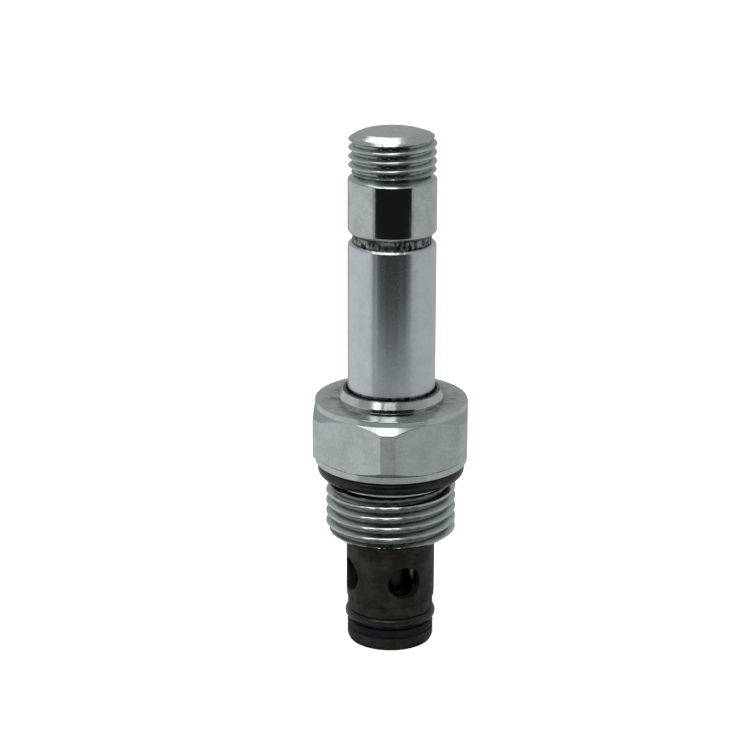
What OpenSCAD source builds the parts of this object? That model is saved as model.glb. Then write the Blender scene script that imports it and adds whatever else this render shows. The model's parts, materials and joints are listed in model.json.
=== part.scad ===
/* [Hexagon] */
// Width across the hexagon's flats
hex_af = 22.225; // [20.5:0.005:27]
// Amount that is turned off each corner of the hexagon
corner_trim = 0.58; // [0.3:0.01:0.9]
// Height of the hexagon with its two turned faces
hex_h = 9.35; // [7.7:0.05:14]
// Step from the flats in to the turned faces
face_inset = 0.06; // [0.03:0.01:0.5]
// Height of the upper turned face
upper_face_h = 0.85; // [0.4:0.05:1.2]
// Height of the lower turned face
lower_face_h = 1; // [0.4:0.05:1.2]
// Angle of the chamfers between the turned faces and the corners
corner_angle = 35; // [25:1:45]
// Angle by which the hexagon is turned from having a corner at the front
hex_turn = -2.4; // [-30:0.1:30]

/* [Threaded shank] */
// Major diameter of the manifold thread
body_thread_d = 18.95; // [18:0.05:23]
// Depth of the manifold thread
body_thread_depth = 0.925; // [0.7:0.005:1.05]
// Pitch of the manifold thread
body_pitch = 1.5875; // [1.3:0.0005:2]
// Distance from the seating face to the end of the shank
shank_l = 11.13; // [9.2:0.01:13.4]
// Length of the relief under the seating face, which holds the O-ring
relief_l = 3; // [2.5:0.05:3.6]
// Depth of metal from the thread's crests to the cage
shank_wall = 2.455; // [2.2:0.005:2.9]

/* [Guide tube] */
// Outer diameter of the guide tube
tube_d = 12.7; // [10.5:0.05:15.3]
// Wall of the guide tube
tube_wall = 0.9; // [0.75:0.05:1.1]
// Height of the guide tube above the hexagon
tube_h = 23.5; // [19.5:0.1:30]
// Depth to which the guide tube enters the hexagon
tube_entry = 6.85; // [5.7:0.05:7.2]
// Step from the guide tube out to its thicker foot inside the hexagon
foot_step = 0.2; // [0.17:0.01:0.3]
// Width of the flange at the guide tube's foot
flange_w = 0.65; // [0.5:0.05:0.8]
// Wall of the lip that is rolled over the flange
lip_wall = 0.6; // [0.4:0.05:1]
// Height of the rolled lip above the hexagon
lip_h = 1.9; // [1.7:0.05:2.6]

/* [Pole piece] */
// Height of the visible groove between the tube and the collar
groove_h = 1.4; // [1:0.05:2.2]
// Depth of the visible groove
groove_depth = 0.6; // [0.4:0.05:0.8]
// Height of the collar above the groove
collar_h = 7.75; // [6.4:0.05:9.4]
// Height of the plain neck between the collar and the stud's thread
stud_neck_h = 1.15; // [0.9:0.05:1.6]
// Step from the collar in to the crests of the stud's thread
stud_inset = 0.075; // [0.02:0.005:0.4]
// Depth of the stud's thread
stud_thread_depth = 0.74; // [0.5:0.01:0.8]
// Pitch of the stud's thread
stud_pitch = 1.27; // [1:0.005:1.35]
// Length of the threaded stud above its neck
stud_l = 5.6; // [4.7:0.05:8]
// Length of the pole piece inside the tube
pole_l = 9.1; // [8:0.05:11]

/* [Plunger] */
// Travel of the plunger
plunger_travel = 1.6; // [1.3:0.05:1.95]
// Travel of the plunger before it lifts the poppet
lost_motion = 0.4; // [0.3:0.05:0.5]
// Thickness of the disc that keeps the plunger off the pole piece
shim_t = 0.25; // [0.2:0.01:0.4]
// Width of the two grooves along the plunger
vent_w = 1.8; // [1:0.1:2.4]
// Depth of the two grooves along the plunger
vent_depth = 1; // [0.6:0.1:1.2]
// Outer diameter of the return spring
spring_d = 4.8; // [4.2:0.1:5.2]
// Wire diameter of the return spring
spring_wire = 0.65; // [0.5:0.05:0.75]
// Number of turns in the return spring
spring_turns = 9; // [7:1:11]
// Depth of the spring's pocket in the pole piece
pole_pocket = 4.6; // [3.6:0.1:6]
// Depth of the spring's pocket in the plunger
plunger_pocket = 7; // [5.5:0.1:9]
// Diameter of the pilot needle
needle_d = 2; // [1.7:0.1:2.4]
// Diameter of the pin that links the plunger to the poppet
link_d = 1.4; // [1.2:0.1:1.6]

/* [Poppet] */
// Diameter of the cup that takes the plunger's tail
cup_d = 5.5; // [5.2:0.05:5.7]
// Depth of the cup
cup_depth = 6.9; // [6.3:0.1:8.2]
// Diameter of the waist between the land and the seat
waist_d = 6.8; // [6.4:0.1:7.6]
// Amount of the land that shows in the cross holes
land_overlap = 0.7; // [0.3:0.1:1.2]
// Diameter of the pilot hole
pilot_d = 1.2; // [0.8:0.1:1.5]
// Diameter of the bleed passage's restricted end
bleed_d = 0.6; // [0.4:0.1:0.8]
// Thickness of the ring in the land, across the axis
poppet_ring_t = 0.7; // [0.5:0.05:0.9]
// Height of the ring in the land, along the axis
poppet_ring_h = 1; // [0.8:0.05:1.3]

/* [Cage] */
// Step from the cage's shank in to its lower part
shank_step = 0.525; // [0.4:0.005:0.7]
// Wall of the cage
cage_wall = 1.515; // [1.3:0.005:1.6]
// Distance from the seating face to the cage's lower end
nose_reach = 27.95; // [27:0.05:34]
// Height of the cross holes' centres above the cage's lower end
cross_hole_up = 10.6; // [10.2:0.05:12]
// Diameter of the cross holes
cross_hole_d = 4.9; // [4:0.1:5.9]
// Number of cross holes
cross_holes = 4; // [3:1:5]
// Angle from the front to the first cross hole
cross_hole_turn = 19.5; // [0:0.5:90]
// Step from the cage in to the neck above the nose seal
neck_step = 0.2; // [0.1:0.05:0.4]
// Step from the cage in to the lip at the nose's end
nose_lip_step = 0.15; // [0.05:0.05:0.4]
// Height of the lip at the nose's end
nose_lip_h = 1.9; // [1.5:0.1:2.4]
// Depth of the seal's groove below the lip
nose_gland_depth = 1.455; // [1.2:0.005:1.6]
// Diameter of the port in the nose
port_d = 6.4; // [5.4:0.1:7]
// Thickness of the seat ring
seat_ring_h = 1.6; // [1.4:0.1:2]
// Diameter of the hole through the seat ring
seat_d = 5.9; // [5.6:0.1:6.4]

/* [Seals] */
// Section of the O-ring under the hexagon
port_seal_t = 2.2; // [1.8:0.05:2.5]
// Section of the O-ring on the nose
nose_seal_t = 1.78; // [1.6:0.01:2.15]
// Thickness of the backup ring on the nose
nose_backup_t = 1.3; // [1:0.05:1.6]
// Section of the O-ring around the guide tube's foot
tube_seal_t = 1.25; // [1:0.05:1.4]
// Thickness of the backup ring around the guide tube's foot
tube_backup_t = 0.8; // [0.5:0.05:1]
// Section of the O-ring between the pole piece and the tube
pole_seal_t = 1.1; // [0.9:0.05:1.3]
// Section of the O-ring between the cage and the adapter
cage_seal_t = 1; // [0.8:0.05:1.1]

/* [Fits] */
// Radial gap where one fixed piece sits in another
seat_gap = 0.02; // [0.01:0.01:0.04]
// Radial gap of the plunger in the tube and of the poppet in the cage
slide_gap = 0.06; // [0.03:0.01:0.1]
// Gap left at each end of the plunger's travel
end_gap = 0.05; // [0.03:0.01:0.1]
// Radial gap around the spring, the tail and the link pin
loose_gap = 0.15; // [0.1:0.01:0.2]

/* [Hidden] */

$fn = 64;
front = -90;
hex_sides = 6;
past = 1;
edge = 0.3;
roll_r = 0.65;
roll_h = 1.2;
stake_depth = 0.37;
lip_roll_r = 1;
flange_h = 0.95;
stud_crown_h = 0.75;
stud_crown_r = 3;
relief_depth = 0.075;
tube_gland_up = 1.6;
plunger_overhang = 1.3;
tail_drop = 0.65;
link_drop = 2.2;
cage_lip_h = 0.6;
cage_seal_drop = 3;
seat_rise = 0.9;
poppet_ring_up = 2;
passage_r = 0.55;
tip_r = 0.25;
land_share = 1 / 8;
root_share = 1 / 4;
flank_share = (1 - land_share - root_share) / 2;
groove_play = 4 * seat_gap;

// Radii of the fixed pieces, from the outside in
flat_r = hex_af / 2;
face_r = flat_r - face_inset;
corner_r = flat_r / cos(180 / hex_sides) - corner_trim;
ridge_r = body_thread_d / 2;
root_r = ridge_r - body_thread_depth;
relief_r = root_r - relief_depth;
tube_r = tube_d / 2;
bore_r = tube_r - tube_wall;
foot_r = tube_r + foot_step;
flange_r = tube_r + flange_w;
lip_r = flange_r + lip_wall;
tube_gland_r = foot_r + tube_seal_t;
barrel_r = bore_r - seat_gap;
stake_r = barrel_r - stake_depth;
groove_r = tube_r - groove_depth;
stud_r = tube_r - stud_inset;
stud_root_r = stud_r - stud_thread_depth;
cage_shank_r = ridge_r - shank_wall - seat_gap;
cage_r = cage_shank_r - shank_step;
cage_bore_r = cage_r - cage_wall;
cage_gland_r = cage_shank_r - cage_seal_t;
neck_r = cage_r - neck_step;
nose_lip_r = cage_r - nose_lip_step;
nose_gland_r = nose_lip_r - nose_gland_depth;
seat_r = seat_d / 2;

// Radii of the moving pieces
plunger_r = bore_r - slide_gap;
pocket_r = spring_d / 2 + 2 * loose_gap;
poppet_r = cage_bore_r - slide_gap;
cup_r = cup_d / 2;
tail_r = cup_r - loose_gap;
needle_r = needle_d / 2;
link_r = link_d / 2;
waist_r = waist_d / 2;
passage_at = (poppet_r + cup_r) / 2;

// Heights above the seating face, from the stud down to the adapter's web
collar_bottom = hex_h + tube_h + groove_h;
collar_top = collar_bottom + collar_h;
stud_bottom = collar_top + stud_neck_h;
stud_top = stud_bottom + stud_l;
tube_top = hex_h + tube_h;
pole_face = tube_top - pole_l;
pocket_top = pole_face + pole_pocket;
lip_top = hex_h + lip_h;
flange_top = lip_top - lip_roll_r - loose_gap;
flange_bottom = flange_top - flange_h;
tube_bottom = hex_h - tube_entry;
foot_top = lip_top - edge / 3;
tube_gland_bottom = tube_bottom + tube_gland_up;
tube_gland_top = tube_gland_bottom + tube_seal_t + tube_backup_t + groove_play;
web_bottom = -2;
shank_end = -shank_l;
cage_shoulder = shank_end + cage_lip_h;
cage_seal_z = web_bottom - cage_seal_drop;

// Heights of the nose
gland_bottom = nose_lip_h - nose_reach;
gland_top = gland_bottom + nose_backup_t + nose_seal_t + groove_play;
seat_bottom = gland_top + seat_rise;
seat_top = seat_bottom + seat_ring_h;
seat_cone_h = 0.6;
cross_hole_z = cross_hole_up - nose_reach;

// Heights of the moving pieces
poppet_travel = plunger_travel - lost_motion;
plunger_top = pole_face - plunger_travel - end_gap - shim_t;
plunger_foot = tube_bottom - plunger_overhang;
poppet_top = web_bottom - poppet_travel - loose_gap;
cup_floor = poppet_top - cup_depth;
shoulder = cross_hole_z + cross_hole_d / 2 - land_overlap;
link_z = poppet_top - link_drop;
slot_r = link_r + loose_gap / 2;
slot_bottom = link_z - lost_motion - slot_r;
tail_end = cup_floor + tail_drop;
needle_top = slot_bottom - edge;
ring_z = shoulder + poppet_ring_up;
// The poppet's cone follows the seat's, drawn back by the end gap
cone_z = seat_top - seat_cone_h + end_gap / cos(45);
cone_drop = 0.6;

// A solid of revolution from points [radius, height]
module turned(points) {
    rotate_extrude() polygon(points);
}

// A ring of round section that fills a groove from its inner radius and lies at a height
module o_ring(inner_r, section, z) {
    translate([0, 0, z]) rotate_extrude() translate([inner_r + section / 2, 0]) circle(d = section);
}

// A ring of rectangular section
module flat_ring(inner_r, outer_r, bottom, top) {
    turned([[inner_r, bottom], [outer_r, bottom], [outer_r, top], [inner_r, top]]);
}

// A round hole along the axis
module axial_hole(r, bottom, top) {
    translate([0, 0, bottom]) cylinder(r = r, h = top - bottom);
}

// A round bar across the axis
module cross_bar(r, length, z) {
    translate([0, 0, z]) rotate([0, 90, 0]) cylinder(r = r, h = length, center = true);
}

// Outline of a thread's ridges: four points each, from the root below to the root above
function ridges(major_r, depth, pitch, bottom, count) = [
    for (i = [0 : count - 1], k = [0 : 3])
        let (rise = [0, flank_share, flank_share + land_share, 2 * flank_share + land_share][k])
        [major_r - (k == 0 || k == 3 ? depth : 0), bottom + pitch * (i + rise)]
];

// Points of a quarter round, from its outer side up to its top
function quarter(centre, r, steps = 6) = [
    for (i = [0 : steps]) centre + r * [cos(90 * i / steps), sin(90 * i / steps)]
];

module pole_piece() {
    count = floor((stud_l - stud_crown_h - edge) / stud_pitch);
    shelf = stud_top - stud_crown_h - edge / 2;
    crown_w = stud_r - edge - stud_crown_r;
    seal_depth = pole_seal_t - seat_gap;
    seal_h = pole_seal_t + groove_play;
    color("silver") difference() {
        turned(concat(
            [
                [0, pole_face], [barrel_r - edge, pole_face], [barrel_r, pole_face + edge],
                [barrel_r, pocket_top - seal_h / 2], [barrel_r - seal_depth, pocket_top - seal_h / 2],
                [barrel_r - seal_depth, pocket_top + seal_h / 2], [barrel_r, pocket_top + seal_h / 2],
                [barrel_r, tube_top - roll_h], [stake_r, tube_top - roll_h / 2],
                [stake_r, tube_top + seat_gap], [groove_r, tube_top + seat_gap],
                [groove_r, collar_bottom - edge], [tube_r - edge, collar_bottom],
                [tube_r, collar_bottom + edge], [tube_r, collar_top - edge / 3],
                [stud_root_r + edge, collar_top + edge], [stud_root_r - edge / 3, collar_top + 1.5 * edge],
                [stud_root_r - edge / 3, stud_bottom - edge]
            ],
            ridges(stud_r, stud_thread_depth, stud_pitch, stud_bottom, count),
            [[stud_root_r, shelf], [stud_r - edge, shelf]],
            [
                for (a = [0 : 15 : 90])
                [stud_crown_r + crown_w * cos(a), stud_top - stud_crown_h * (1 - sin(a))]
            ],
            [[0, stud_top]]
        ));
        axial_hole(pocket_r, pole_face - past, pocket_top);
    }
}

module pole_seal() {
    color("dimgray") o_ring(barrel_r - pole_seal_t + 2 * seat_gap, pole_seal_t - 2 * seat_gap, pocket_top);
}

module guide_tube() {
    color("lightsteelblue") turned(concat(
        [
            [bore_r, tube_bottom + edge], [bore_r + edge, tube_bottom], [foot_r - edge, tube_bottom],
            [foot_r, tube_bottom + edge], [foot_r, flange_bottom - flange_w / 4],
            [flange_r, flange_bottom], [flange_r, flange_top], [foot_r, flange_top + flange_w / 4],
            [foot_r, foot_top], [tube_r, foot_top]
        ],
        quarter([tube_r - roll_r, tube_top - roll_r], roll_r),
        [
            [stake_r + seat_gap, tube_top], [stake_r + seat_gap, tube_top - roll_h / 2],
            [bore_r, tube_top - roll_h]
        ]
    ));
}

module tube_seal() {
    color("dimgray") o_ring(foot_r + seat_gap, tube_seal_t - 2 * seat_gap,
        tube_gland_bottom + seat_gap + tube_seal_t / 2);
}

module tube_backup_ring() {
    top = tube_gland_top - seat_gap;
    color("ivory") flat_ring(foot_r + seat_gap, tube_gland_r - seat_gap, top - tube_backup_t, top);
}

// The hexagon's flats, turned round at the corners and chamfered to the faces above and below
module hex_block() {
    drop = (corner_r - face_r) * tan(corner_angle);
    upper = hex_h - upper_face_h;
    intersection() {
        rotate(front + hex_turn)
            cylinder(r = flat_r / cos(180 / hex_sides), h = hex_h, $fn = hex_sides);
        turned([
            [0, 0], [face_r, 0], [face_r, lower_face_h], [corner_r, lower_face_h + drop],
            [corner_r, upper - drop], [face_r, upper], [face_r, hex_h], [0, hex_h]
        ]);
    }
}

module hex_adapter() {
    count = floor((shank_l - relief_l - edge) / body_pitch);
    first = -relief_l - body_pitch * (count + root_share);
    fit_r = foot_r + seat_gap;
    cage_fit_r = cage_shank_r + seat_gap;
    color("gainsboro") difference() {
        union() {
            hex_block();
            turned(concat(
                [
                    [0, shank_end], [root_r, shank_end],
                    [ridge_r, first - body_pitch * (flank_share + land_share)],
                    [ridge_r, first - body_pitch * flank_share]
                ],
                ridges(ridge_r, body_thread_depth, body_pitch, first, count),
                [
                    [relief_r, -relief_l], [relief_r, edge], [lip_r, edge], [lip_r, hex_h + lip_roll_r / 2],
                    [lip_r - 0.6 * lip_roll_r, lip_top - edge], [lip_r - 0.85 * lip_roll_r, lip_top], [0, lip_top]
                ]
            ));
        }
        turned([
            [0, shank_end - past], [cage_r + seat_gap, shank_end - past],
            [cage_r + seat_gap, cage_shoulder - seat_gap], [cage_fit_r, cage_shoulder - seat_gap],
            [cage_fit_r, web_bottom], [bore_r + loose_gap, web_bottom],
            [bore_r + loose_gap, tube_bottom - seat_gap], [fit_r, tube_bottom - seat_gap],
            [fit_r, tube_gland_bottom], [tube_gland_r, tube_gland_bottom],
            [tube_gland_r, tube_gland_top], [fit_r, tube_gland_top],
            [fit_r, flange_bottom - flange_w / 4 - seat_gap], [flange_r + seat_gap, flange_bottom - seat_gap],
            [flange_r + seat_gap, flange_top], [fit_r, flange_top + flange_w / 4 + seat_gap],
            [fit_r, lip_top + past], [0, lip_top + past]
        ]);
    }
}

module port_o_ring() {
    color("dimgray") o_ring(relief_r + seat_gap, port_seal_t, -port_seal_t / 2 - seat_gap);
}

module plunger() {
    color("slategray") difference() {
        turned([
            [0, tail_end], [tail_r - edge, tail_end], [tail_r, tail_end + edge],
            [tail_r, plunger_foot], [plunger_r - edge, plunger_foot], [plunger_r, plunger_foot + edge],
            [plunger_r, plunger_top - edge], [plunger_r - edge, plunger_top], [0, plunger_top]
        ]);
        axial_hole(pocket_r, plunger_top - plunger_pocket, plunger_top + past);
        axial_hole(needle_r + seat_gap, tail_end - past, needle_top + seat_gap);
        for (side = [-1, 1])
            translate([side * plunger_r - vent_depth, -vent_w / 2, plunger_foot - past])
                cube([2 * vent_depth, vent_w, plunger_top - plunger_foot + 2 * past]);
        // The slot lets the plunger travel before its lower end meets the link pin
        for (z = [link_z, link_z - lost_motion]) cross_bar(slot_r, 2 * tail_r + past, z);
        translate([0, 0, link_z - lost_motion / 2])
            cube([2 * tail_r + past, 2 * slot_r, lost_motion], center = true);
    }
}

module residual_shim() {
    color("goldenrod") flat_ring(pocket_r + seat_gap, plunger_r - 2 * edge, plunger_top, plunger_top + shim_t);
}

// A coil of round wire whose end turns are closed
module return_spring() {
    wire_r = spring_wire / 2;
    bottom = plunger_top - plunger_pocket + wire_r;
    height = pocket_top - wire_r - bottom;
    steps = 20;
    sides = 8;
    rings = spring_turns * steps;
    coil_r = spring_d / 2 - wire_r;
    end = 1 / spring_turns;
    end_rise = spring_wire / height;
    function rise(u) = u < end ? u / end * end_rise
        : u > 1 - end ? 1 - (1 - u) / end * end_rise
        : end_rise + (u - end) / (1 - 2 * end) * (1 - 2 * end_rise);
    points = [
        for (i = [0 : rings], j = [0 : sides - 1])
            let (a = 360 * i / steps, b = 360 * j / sides, r = coil_r + wire_r * cos(b))
            [r * cos(a), r * sin(a), bottom + height * rise(i / rings) + wire_r * sin(b)]
    ];
    faces = concat(
        [[for (j = [0 : sides - 1]) j]],
        [
            for (i = [0 : rings - 1], j = [0 : sides - 1])
                let (k = (j + 1) % sides)
                [i * sides + j, (i + 1) * sides + j, (i + 1) * sides + k, i * sides + k]
        ],
        [[for (j = [sides - 1 : -1 : 0]) rings * sides + j]]
    );
    color("lightgray") polyhedron(points, faces);
}

module pilot_needle() {
    tip_z = cup_floor + end_gap - pilot_d / 2 + tip_r;
    color("gray") turned([
        [0, tip_z], [tip_r, tip_z], [needle_r, tip_z + needle_r - tip_r],
        [needle_r, needle_top], [0, needle_top]
    ]);
}

module link_pin() {
    color("gray") cross_bar(link_r, 2 * (poppet_r - edge), link_z);
}

module poppet() {
    brim_r = waist_r + edge;
    brim_z = cone_z + brim_r - seat_r;
    color("darkgray") difference() {
        turned([
            [0, cone_z - cone_drop], [seat_r - cone_drop, cone_z - cone_drop], [brim_r, brim_z],
            [waist_r, brim_z + 2 * edge], [waist_r, shoulder], [poppet_r - edge, shoulder],
            [poppet_r, shoulder + edge], [poppet_r, ring_z], [poppet_r - poppet_ring_t, ring_z],
            [poppet_r - poppet_ring_t, ring_z + poppet_ring_h], [poppet_r, ring_z + poppet_ring_h],
            [poppet_r, poppet_top - edge], [poppet_r - edge, poppet_top], [0, poppet_top]
        ]);
        axial_hole(cup_r, cup_floor, poppet_top + past);
        axial_hole(pilot_d / 2, cone_z - cone_drop - past, cup_floor + past);
        cross_bar(link_r + seat_gap, 2 * poppet_r + past, link_z);
        translate([0, passage_at, 0]) {
            axial_hole(passage_r, shoulder + past, poppet_top + past);
            axial_hole(bleed_d / 2, shoulder - past, poppet_top);
        }
    }
}

module poppet_ring() {
    color("ivory") flat_ring(poppet_r - poppet_ring_t + seat_gap, poppet_r + seat_gap,
        ring_z + seat_gap, ring_z + poppet_ring_h - seat_gap);
}

module cage() {
    seal_h = cage_seal_t + groove_play;
    taper_top = gland_top + 2.95;
    taper_bottom = gland_top + 1.65;
    cage_top = web_bottom - seat_gap;
    color("darkolivegreen") difference() {
        turned([
            [port_d / 2, -nose_reach], [nose_lip_r - edge, -nose_reach],
            [nose_lip_r - edge / 3, edge - nose_reach], [nose_lip_r, 2 * edge - nose_reach],
            [nose_lip_r, gland_bottom], [nose_gland_r, gland_bottom], [nose_gland_r, gland_top],
            [neck_r, gland_top], [neck_r, taper_bottom], [cage_r, taper_top],
            [cage_r, cage_shoulder], [cage_shank_r, cage_shoulder],
            [cage_shank_r, cage_seal_z - seal_h / 2], [cage_gland_r, cage_seal_z - seal_h / 2],
            [cage_gland_r, cage_seal_z + seal_h / 2], [cage_shank_r, cage_seal_z + seal_h / 2],
            [cage_shank_r, cage_top - edge], [cage_shank_r - edge, cage_top],
            [cage_bore_r + edge, cage_top], [cage_bore_r, cage_top - edge],
            [cage_bore_r, seat_bottom], [port_d / 2, seat_bottom]
        ]);
        for (i = [0 : cross_holes - 1])
            rotate(front + cross_hole_turn + 360 / cross_holes * i) translate([0, 0, cross_hole_z])
                rotate([0, 90, 0]) cylinder(d = cross_hole_d, h = cage_shank_r + past);
    }
}

module cage_seal() {
    color("dimgray") o_ring(cage_gland_r + seat_gap, cage_seal_t - seat_gap, cage_seal_z);
}

module seat_ring() {
    outer_r = cage_bore_r - seat_gap;
    color("gray") turned([
        [seat_r, seat_bottom], [outer_r, seat_bottom], [outer_r, seat_top],
        [seat_r + seat_cone_h, seat_top], [seat_r, seat_top - seat_cone_h]
    ]);
}

module nose_o_ring() {
    section = nose_seal_t - seat_gap;
    color("dimgray") o_ring(nose_gland_r + seat_gap, section, gland_top - seat_gap - section / 2);
}

module nose_backup_ring() {
    bottom = gland_bottom + seat_gap;
    top = bottom + nose_backup_t;
    inner_r = nose_gland_r + seat_gap;
    outer_r = nose_lip_r + 0.05;
    color("midnightblue") turned([
        [inner_r, bottom], [outer_r - edge / 2, bottom], [outer_r, (bottom + top) / 2],
        [outer_r - edge / 2, top], [inner_r, top]
    ]);
}

pole_piece();
pole_seal();
guide_tube();
tube_seal();
tube_backup_ring();
hex_adapter();
port_o_ring();
plunger();
residual_shim();
return_spring();
pilot_needle();
link_pin();
poppet();
poppet_ring();
cage();
cage_seal();
seat_ring();
nose_o_ring();
nose_backup_ring();
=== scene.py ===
"""Solenoid cartridge valve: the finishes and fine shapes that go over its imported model."""

import json
import math
from typing import NamedTuple

import bmesh
import bpy
from bpy.props import FloatProperty, FloatVectorProperty, IntProperty, PointerProperty
from mathutils import Matrix, Vector, noise


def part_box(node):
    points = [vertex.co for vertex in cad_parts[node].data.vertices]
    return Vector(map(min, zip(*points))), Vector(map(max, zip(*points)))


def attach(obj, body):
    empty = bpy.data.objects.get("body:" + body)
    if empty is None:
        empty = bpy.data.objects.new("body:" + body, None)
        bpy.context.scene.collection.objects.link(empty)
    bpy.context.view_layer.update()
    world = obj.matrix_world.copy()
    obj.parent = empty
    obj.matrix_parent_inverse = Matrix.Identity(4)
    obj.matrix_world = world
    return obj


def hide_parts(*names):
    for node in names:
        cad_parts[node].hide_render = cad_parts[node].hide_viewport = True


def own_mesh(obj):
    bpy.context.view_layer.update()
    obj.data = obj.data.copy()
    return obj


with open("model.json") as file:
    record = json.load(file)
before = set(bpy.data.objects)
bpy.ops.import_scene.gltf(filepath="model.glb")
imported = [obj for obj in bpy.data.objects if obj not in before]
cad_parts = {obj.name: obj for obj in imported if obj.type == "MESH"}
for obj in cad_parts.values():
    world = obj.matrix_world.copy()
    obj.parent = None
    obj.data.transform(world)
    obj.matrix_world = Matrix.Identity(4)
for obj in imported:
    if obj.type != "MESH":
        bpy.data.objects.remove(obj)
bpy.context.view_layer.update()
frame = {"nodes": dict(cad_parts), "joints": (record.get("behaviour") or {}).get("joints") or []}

bl_info = {
    "name": "Cartridge valve",
    "version": (1, 0, 0),
    "blender": (4, 5, 0),
    "location": "View3D > Sidebar > Cartridge",
    "description": "Builds the visible pieces and finishes of a solenoid cartridge valve",
    "category": "Object",
}

MM = 0.001
TURN = 2 * math.pi
FRONT = -math.pi / 2
HEX_SIDE = math.pi / 3
# Columns round a turned piece and round a ring, and points round a ring's section.
TURNED_COLUMNS = 228
RING_COLUMNS = 160
RING_POINTS = 28
# Steps across and along the square patch round each cross hole.
PATCH_STEPS = 16
# Sizes in millimetres that two or more pieces share.
SEAT_GAP = 0.02
TUBE_BORE_R = 5.45
TUBE_STAKE_R = 5.08
STAKE_START, STAKE_END = 1.2, 0.6
FOOT_R = 6.57
NOSE_GROOVE_R = 4.89


def extent(node):
    """Outer radius, lowest and highest point of a round piece, in millimetres."""
    low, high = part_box(node)
    return high[0] / MM, low[2] / MM, high[2] / MM


FLANGE_R, TUBE_BOTTOM, TUBE_TOP = extent("guide_tube")
TUBE_R, POLE_FACE, STUD_TOP = extent("pole_piece")
SHANK_R, NOSE_END, CAGE_TOP = extent("cage")
SHANK_END, LIP_TOP = extent("hex_adapter")[1:]


# Sizes and colours ---------------------------------------------------------------------------

def length(name, about, default):
    metres = default * MM
    return FloatProperty(name=name, description=about, default=metres, precision=5, unit="LENGTH")


def angle(name, about, degrees):
    turn = math.radians(degrees)
    return FloatProperty(name=name, description=about, default=turn, subtype="ANGLE")


def paint(name, about, *rgb):
    return FloatVectorProperty(
        name=name, description=about, default=rgb, size=3, min=0, max=1, subtype="COLOR"
    )


def level(name, about, default):
    return FloatProperty(name=name, description=about, default=default, min=0)


def number(name, about, default, least):
    return IntProperty(name=name, description=about, default=default, min=least)


class CartridgeSizes(bpy.types.PropertyGroup):
    """Sizes of the pieces that are shaped here."""
    hex_flats: length("Hexagon", "Width across the hexagon's flats", 22.225)
    hex_corner: length("Turned corner", "Radius to which the hexagon's corners are turned", 12.252)
    hex_face: length("Turned face", "Radius of the hexagon's turned end faces", 11.0525)
    hex_height: length("Hexagon height", "Height of the hexagon with its turned faces", 9.35)
    hex_turn: angle("Hexagon turn", "Angle from the front to a corner of the hexagon", -2.4)
    chamfer: angle("Corner chamfer", "Slope of the chamfers over the corners", 35)
    shank_pitch: length("Shank pitch", "Pitch of the manifold thread", 1.5875)
    shank_crest: length("Shank crest", "Height of a crest of the manifold thread at +X", -3.97)
    shank_depth: length("Shank thread depth", "Depth of the manifold thread", 0.925)
    shank_major: length("Shank thread", "Outer radius of the manifold thread", 9.475)
    stud_pitch: length("Stud pitch", "Pitch of the stud's thread", 1.27)
    stud_crest: length("Stud crest", "Height of a crest of the stud's thread at +X", 47.07)
    stud_depth: length("Stud thread depth", "Depth of the stud's thread", 0.74)
    stud_major: length("Stud thread", "Outer radius of the stud's thread", 6.275)
    edge_break: length("Edge break", "Size of the small roundings on turned edges", 0.12)
    crimp_depth: length("Crimp marks", "Depth of the marks left by rolling the groove", 0.11)
    crimp_count: number("Crimp count", "Number of marks round the groove", 38, 0)
    cross_hole: length("Cross hole", "Radius of the holes through the cage", 2.45)
    cross_height: length("Cross hole height", "Height of the cross holes' centres", -17.35)
    cross_turn: angle("Cross hole turn", "Angle from the front to the first cross hole", 19.5)
    cross_count: number("Cross holes", "Number of holes through the cage", 4, 1)
    spring_wire: length("Spring wire", "Diameter of the return spring's wire", 0.65)
    spring_turns: number("Spring turns", "Turns of the return spring", 9, 3)


class CartridgeColours(bpy.types.PropertyGroup):
    """Colours of the finishes and of the floor."""
    zinc: paint("Zinc", "Bright zinc plate on the adapter and the pole piece", 0.60, 0.64, 0.65)
    zinc_cloud: paint("Zinc clouds", "Duller, faintly olive clouds in the plate", 0.43, 0.47, 0.42)
    # Dark grime that is also painted shade, darkening the groove, the tube's foot and the lip's
    # top.
    dark_grime_and_shade: paint("Groove dirt", "Dark dirt in the groove and round the lip", 0.035, 0.034, 0.028)
    # Olive blotches on the hexagon's top face, thickest by the lip's foot and fading outwards.
    blotches: paint("Olive stain", "Olive stain round the lip of the hexagon", 0.20, 0.21, 0.135)
    # Painted shade for the threads' roots.
    root_shade: paint("Thread roots", "Greenish painted shade in the threads' roots", 0.075, 0.085, 0.075)
    tube: paint("Tube zinc", "Bright zinc plate on the guide tube", 0.66, 0.71, 0.73)
    phosphate: paint("Phosphate", "Oiled phosphate coating on the cage", 0.014, 0.013, 0.010)
    phosphate_worn: paint("Worn phosphate", "Thinner coat over the steel", 0.042, 0.040, 0.031)
    nitrile: paint("Nitrile", "Black rubber of the O-rings", 0.004, 0.004, 0.004)
    polymer: paint("Backup ring", "Dark backup ring on the nose", 0.003, 0.0033, 0.0048)
    ptfe: paint("PTFE", "White rings inside the valve", 0.80, 0.79, 0.75)
    iron: paint("Plunger iron", "Soft iron of the plunger", 0.38, 0.37, 0.36)
    brass: paint("Brass", "Disc that keeps the plunger off the pole piece", 0.66, 0.49, 0.23)
    steel: paint("Hardened steel", "Ground steel of the needle and pin", 0.42, 0.41, 0.40)
    # Poppet and seat colour, darkened nearly to black as painted shade inside the cross holes.
    poppet_shade: paint("Poppet steel in painted shade", "Poppet and seat steel, darkened as painted shade in the cross holes", 0.032, 0.031, 0.029)
    wire: paint("Spring wire", "Stainless wire of the return spring", 0.55, 0.54, 0.52)
    floor: paint("Floor", "Pale floor", 0.30, 0.30, 0.30)


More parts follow.
